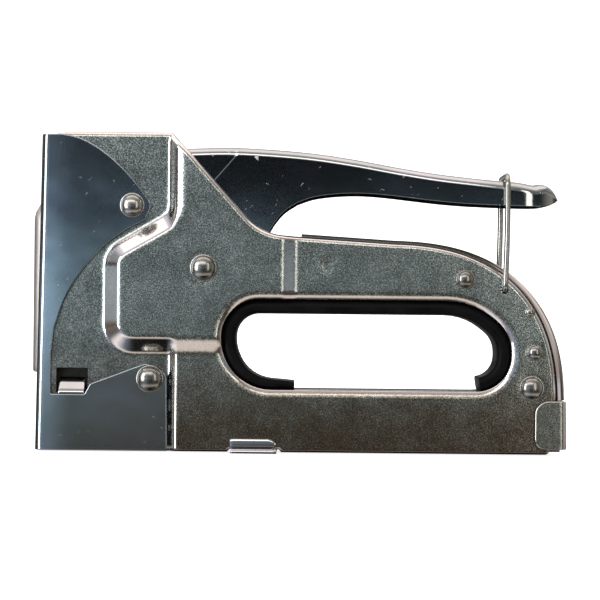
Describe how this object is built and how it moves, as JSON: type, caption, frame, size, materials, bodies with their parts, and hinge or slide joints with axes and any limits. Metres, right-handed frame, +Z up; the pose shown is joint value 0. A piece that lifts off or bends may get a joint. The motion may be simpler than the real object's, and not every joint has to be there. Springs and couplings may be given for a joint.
{
  "type": "staple gun",
  "caption": "Hand-squeezed staple gun: pressed-steel body with a finger opening and black liner, squeeze lever held by a wire lock, spring-driven striker and slide-out magazine.",
  "frame": {"origin": "middle of the bounding box, at its lowest point", "axes": "+X from the nose to the tail, along the longest side; +Y across the thickness; +Z up, from the magazine to the lever"},
  "size_m": [0.1616, 0.0268, 0.0966],
  "materials": {
    "zinc": "satin zinc-plated pressed steel",
    "polished": "polished plated steel",
    "chrome": "bright chrome-plated steel",
    "plain_steel": "plain cold-rolled steel",
    "spring_steel": "dark oiled spring steel",
    "plastic": "semi-matt black moulded plastic",
    "rubber": "black rubber"
  },
  "bodies": {
    "body": {"shell_near": "zinc", "shell_far": "zinc", "nose_cover": "polished", "rivet_nose_upper": "chrome", "rivet_nose_lower": "chrome", "rivet_lever_pivot": "chrome", "rivet_grip_front": "chrome", "rivet_grip_small": "chrome", "rivet_grip_middle": "chrome", "rivet_grip_rear": "chrome", "spacer_nose_upper": "plain_steel", "spacer_nose_lower": "plain_steel", "spacer_grip_rear": "plain_steel", "grip_liner": "plastic", "grip_spine": "zinc", "belly_strap": "chrome", "spring_seat": "plain_steel", "power_spring": "spring_steel", "striker_buffer": "rubber", "blade_guide": "plain_steel", "staple_channel": "plain_steel"},
    "lever": {"lever": "chrome", "lever_lifter": "plain_steel", "lever_bushing": "plain_steel", "lever_cross_pin": "plain_steel", "lever_spring": "spring_steel"},
    "lock": {"lock_wire": "chrome"},
    "striker": {"plunger": "plain_steel", "driver_blade": "plain_steel"},
    "magazine": {"magazine_rail": "plain_steel", "pusher_rod": "plain_steel", "pusher_spring": "spring_steel", "magazine_cap": "zinc"},
    "pusher": {"pusher": "plain_steel"}
  },
  "joints": [
    {"name": "lever_pivot", "type": "hinge", "parent": "body", "child": "lever", "pos_m": [-0.0287, 0, 0.0557], "axis": [0, 1, 0], "range_deg": [0, 11], "stiffness_Nm_per_rad": 0.9, "springref_deg": -17.19, "deforming": ["lever_spring"]},
    {"name": "lock_swing", "type": "hinge", "parent": "body", "child": "lock", "pos_m": [0.0618, 0, 0.05], "axis": [0, 1, 0], "range_deg": [0, 110]},
    {"name": "plunger_slide", "type": "slide", "parent": "body", "child": "striker", "axis": [0, 0, 1], "range_m": [0, 0.0075], "stiffness_N_per_m": 300, "springref_m": -0.01, "deforming": ["power_spring"]},
    {"name": "magazine_slide", "type": "slide", "parent": "body", "child": "magazine", "axis": [1, 0, 0], "range_m": [0, 0.09]},
    {"name": "pusher_slide", "type": "slide", "parent": "magazine", "child": "pusher", "axis": [1, 0, 0], "range_m": [0, 0.11], "stiffness_N_per_m": 60, "springref_m": -0.03, "deforming": ["pusher_spring"]}
  ],
  "couplings": [
    {"joint": "plunger_slide", "follows": "lever_pivot", "m_per_rad": 0.0383}
  ]
}
